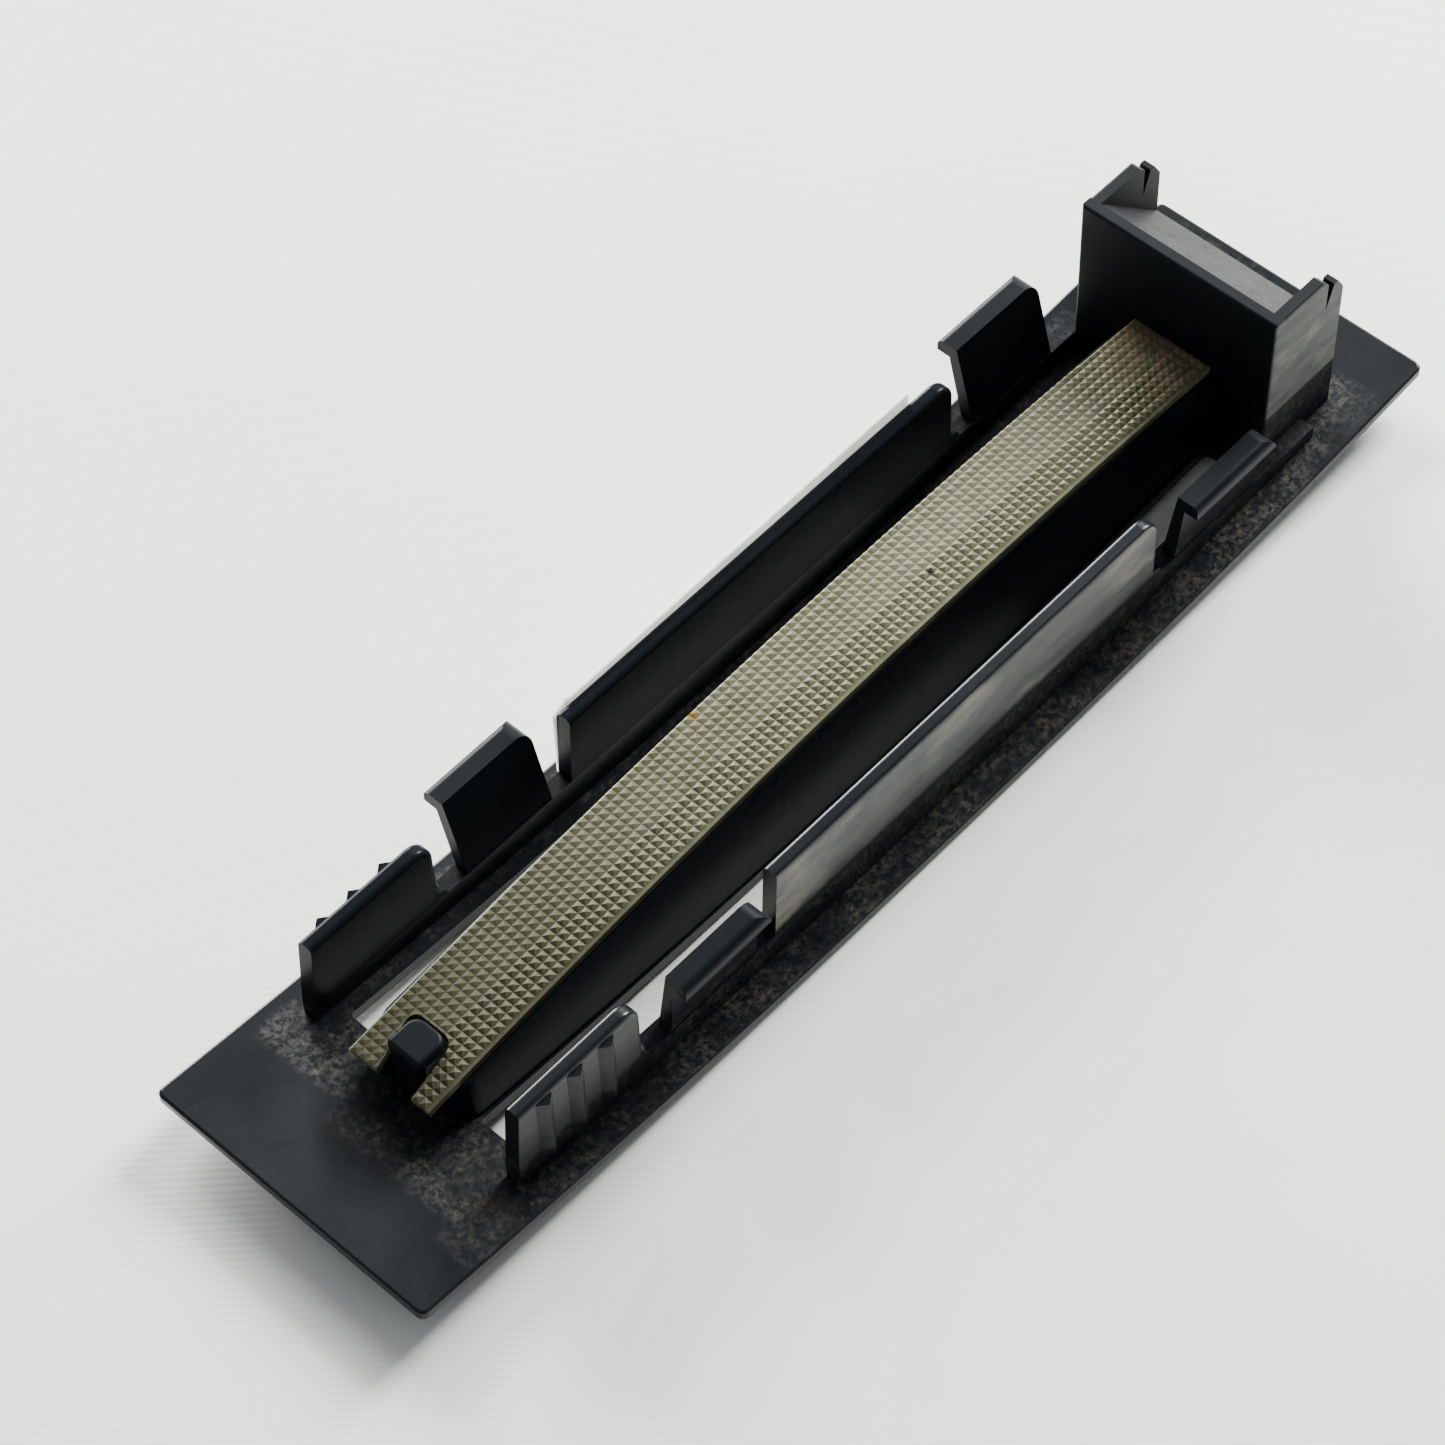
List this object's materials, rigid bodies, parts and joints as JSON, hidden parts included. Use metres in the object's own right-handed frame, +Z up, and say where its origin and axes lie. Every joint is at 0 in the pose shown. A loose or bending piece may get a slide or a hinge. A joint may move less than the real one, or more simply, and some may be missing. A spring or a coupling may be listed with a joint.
{
  "type": "negative carrier",
  "caption": "Slotted snap-in carrier: a bowed plate with sprung side clips, grip walls, a prismatic strip over a light channel, and a lamp tower at one end.",
  "frame": {"origin": "lowest line of the bowed face, at the middle of the plate's length and width", "axes": "+X runs along the plate towards the lamp tower, +Y to the side with the paper strip, +Z up from the bowed face towards the clips"},
  "size_m": [0.16, 0.038, 0.0273],
  "materials": {
    "charcoal_moulding": "satin charcoal moulding, dusty and scuffed",
    "prism_diffuser": "yellowed ivory prismatic plastic",
    "paper_strip": "plain white paper"
  },
  "bodies": {
    "carrier": {"face_plate": "charcoal_moulding", "left_sill": "charcoal_moulding", "right_sill": "charcoal_moulding", "left_grip_wall": "charcoal_moulding", "right_grip_wall": "charcoal_moulding", "left_side_wall": "charcoal_moulding", "right_side_wall": "charcoal_moulding", "left_channel_wall": "charcoal_moulding", "right_channel_wall": "charcoal_moulding", "prism_strip": "prism_diffuser", "tower_front_wall": "charcoal_moulding", "tower_roof": "charcoal_moulding", "left_tower_cheek": "charcoal_moulding", "right_tower_cheek": "charcoal_moulding", "paper_side_strip": "paper_strip"},
    "left_front_clip_leg": {"left_front_clip": "charcoal_moulding"},
    "right_front_clip_leg": {"right_front_clip": "charcoal_moulding"},
    "left_rear_clip_leg": {"left_rear_clip": "charcoal_moulding"},
    "right_rear_clip_leg": {"right_rear_clip": "charcoal_moulding"},
    "hook_post": {"retaining_hook": "charcoal_moulding"}
  },
  "joints": [
    {"name": "left_front_clip_flex", "type": "hinge", "parent": "carrier", "child": "left_front_clip_leg", "pos_m": [-0.03415, 0.01445, 0.006], "axis": [1, 0, 0], "range_deg": [0, 18], "stiffness_Nm_per_rad": 0.25},
    {"name": "right_front_clip_flex", "type": "hinge", "parent": "carrier", "child": "right_front_clip_leg", "pos_m": [-0.03415, -0.01445, 0.006], "axis": [-1, 0, 0], "range_deg": [0, 12], "stiffness_Nm_per_rad": 0.25},
    {"name": "left_rear_clip_flex", "type": "hinge", "parent": "carrier", "child": "left_rear_clip_leg", "pos_m": [0.0469, 0.01445, 0.006], "axis": [1, 0, 0], "range_deg": [0, 18], "stiffness_Nm_per_rad": 0.25},
    {"name": "right_rear_clip_flex", "type": "hinge", "parent": "carrier", "child": "right_rear_clip_leg", "pos_m": [0.0469, -0.01445, 0.006], "axis": [-1, 0, 0], "range_deg": [0, 12], "stiffness_Nm_per_rad": 0.25},
    {"name": "hook_flex", "type": "hinge", "parent": "carrier", "child": "hook_post", "pos_m": [-0.06225, 0, 0.00472], "axis": [0, -1, 0], "range_deg": [0, 6], "stiffness_Nm_per_rad": 0.25}
  ]
}
